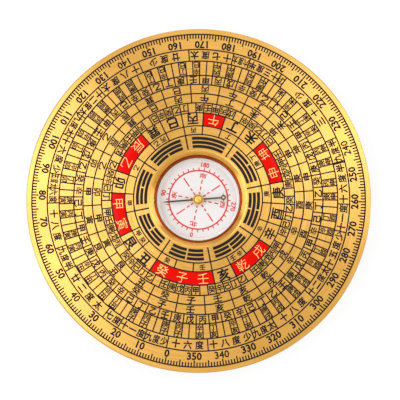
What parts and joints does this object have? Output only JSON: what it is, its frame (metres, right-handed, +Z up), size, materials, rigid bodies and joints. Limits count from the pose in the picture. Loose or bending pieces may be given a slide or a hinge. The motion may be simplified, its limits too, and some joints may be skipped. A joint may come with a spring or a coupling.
{
  "type": "feng shui compass",
  "caption": "Round brass dial plate with engraved rings, enamel trigrams and a glazed capsule in its middle, where a magnetic needle turns on a pin.",
  "frame": {"origin": "centre of the flat underside", "axes": "+Z up out of the face, +Y towards the south mark at 180 degrees, -Y towards the north mark at 0 degrees"},
  "size_m": [0.086, 0.086, 0.0071],
  "materials": {
    "satin_brass": "turned satin face with polished edges",
    "polished_brass": "polished",
    "red_enamel": "gloss enamel fill",
    "black_enamel": "gloss enamel fill",
    "white_enamel": "gloss white",
    "printed_card": "matt, printed red",
    "brown_rubber": "matt",
    "mineral_glass": "polished",
    "copper_wire": "bright copper-coloured wire",
    "hard_steel": "hardened and polished",
    "bronzed_steel": "browned",
    "agate": "polished stone"
  },
  "bodies": {
    "compass": {"dial_plate": "satin_brass", "capsule_cup": "white_enamel", "dial_card": "printed_card", "crystal_gasket": "brown_rubber", "crystal": "mineral_glass", "wire_ring": "copper_wire", "pivot_boss": "polished_brass", "pivot_pin": "hard_steel", "red_panel_north": "red_enamel", "red_panel_east_northeast": "red_enamel", "red_panel_east_southeast": "red_enamel", "red_panel_south": "red_enamel", "red_panel_west_southwest": "red_enamel", "red_panel_northwest": "red_enamel", "trigram_north_outer_first": "black_enamel", "trigram_north_outer_second": "black_enamel", "trigram_north_middle_first": "black_enamel", "trigram_north_middle_second": "black_enamel", "trigram_north_inner_first": "black_enamel", "trigram_north_inner_second": "black_enamel", "trigram_northeast_outer": "black_enamel", "trigram_northeast_middle_first": "black_enamel", "trigram_northeast_middle_second": "black_enamel", "trigram_northeast_inner_first": "black_enamel", "trigram_northeast_inner_second": "black_enamel", "trigram_east_outer": "black_enamel", "trigram_east_middle_first": "black_enamel", "trigram_east_middle_second": "black_enamel", "trigram_east_inner": "black_enamel", "trigram_southeast_outer": "black_enamel", "trigram_southeast_middle": "black_enamel", "trigram_southeast_inner_first": "black_enamel", "trigram_southeast_inner_second": "black_enamel", "trigram_south_outer": "black_enamel", "trigram_south_middle": "black_enamel", "trigram_south_inner": "black_enamel", "trigram_southwest_outer_first": "black_enamel", "trigram_southwest_outer_second": "black_enamel", "trigram_southwest_middle": "black_enamel", "trigram_southwest_inner": "black_enamel", "trigram_west_outer_first": "black_enamel", "trigram_west_outer_second": "black_enamel", "trigram_west_middle": "black_enamel", "trigram_west_inner_first": "black_enamel", "trigram_west_inner_second": "black_enamel", "trigram_northwest_outer_first": "black_enamel", "trigram_northwest_outer_second": "black_enamel", "trigram_northwest_middle_first": "black_enamel", "trigram_northwest_middle_second": "black_enamel", "trigram_northwest_inner": "black_enamel"},
    "needle": {"needle": "bronzed_steel", "needle_hub": "polished_brass", "jewel_bearing": "agate"}
  },
  "joints": [
    {"name": "needle_spin", "type": "hinge", "parent": "compass", "child": "needle", "pos_m": [0, 0, 0.00345], "axis": [0, 0, 1], "continuous": true}
  ]
}
